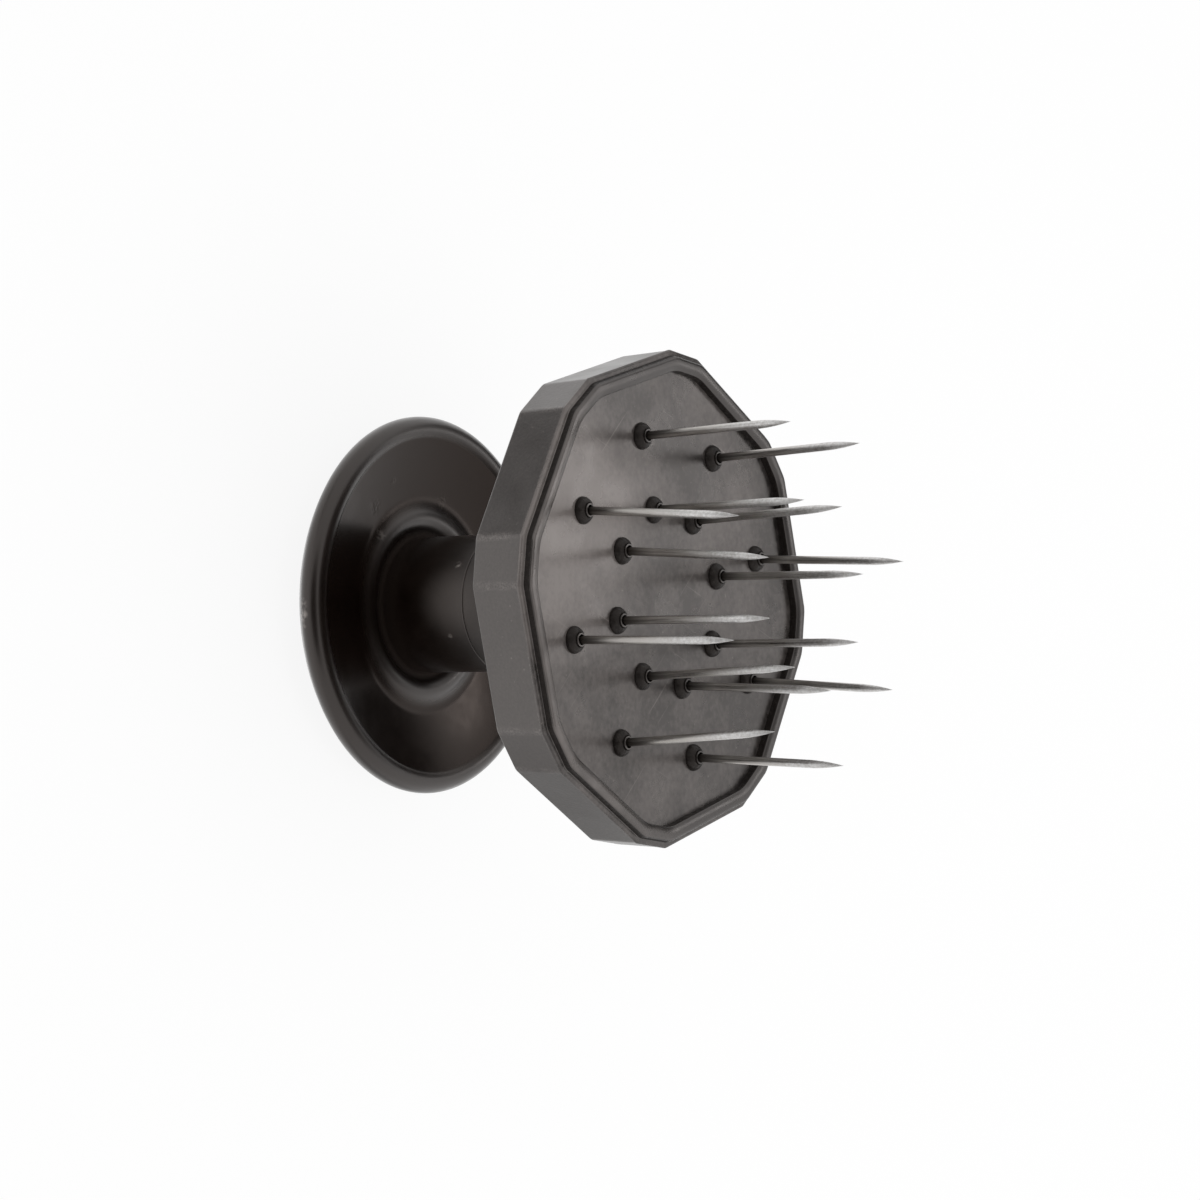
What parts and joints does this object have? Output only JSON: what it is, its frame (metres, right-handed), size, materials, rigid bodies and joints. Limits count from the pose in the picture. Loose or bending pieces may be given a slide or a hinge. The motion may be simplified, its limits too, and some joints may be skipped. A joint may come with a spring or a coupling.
{
  "type": "sausage pricker",
  "caption": "Palm-pushed sausage pricker: a dished round knob on a short neck and a cut-corner octagonal head with two rings of loose steel needles in a lipped face.",
  "frame": {"origin": "middle of the flat on the palm face, which is the lowest plane when the tool stands on its knob", "axes": "+Z along the tool's axis from the palm face to the needle points; +X square to one flat of the octagonal head"},
  "size_m": [0.0808, 0.0808, 0.089],
  "materials": {
    "knob_plastic": "moulded brown-black plastic, half gloss",
    "casing_plastic": "moulded brown-black plastic, half gloss, lightly scuffed",
    "plate_plastic": "moulded brown-black plastic, half gloss, fine handling marks",
    "needle_steel": "drawn steel wire with ground points",
    "screw_steel": "zinc-plated steel"
  },
  "bodies": {
    "root": {"palm_knob": "knob_plastic", "head_casing": "casing_plastic", "needle_carrier": "plate_plastic", "screw_washer": "screw_steel", "stem_screw": "screw_steel", "needle_01": "needle_steel", "needle_02": "needle_steel", "needle_03": "needle_steel", "needle_04": "needle_steel", "needle_05": "needle_steel", "needle_06": "needle_steel", "needle_07": "needle_steel", "needle_08": "needle_steel", "needle_09": "needle_steel", "needle_10": "needle_steel", "needle_11": "needle_steel", "needle_12": "needle_steel", "needle_13": "needle_steel", "needle_14": "needle_steel", "needle_15": "needle_steel", "needle_16": "needle_steel"}
  },
  "joints": []
}
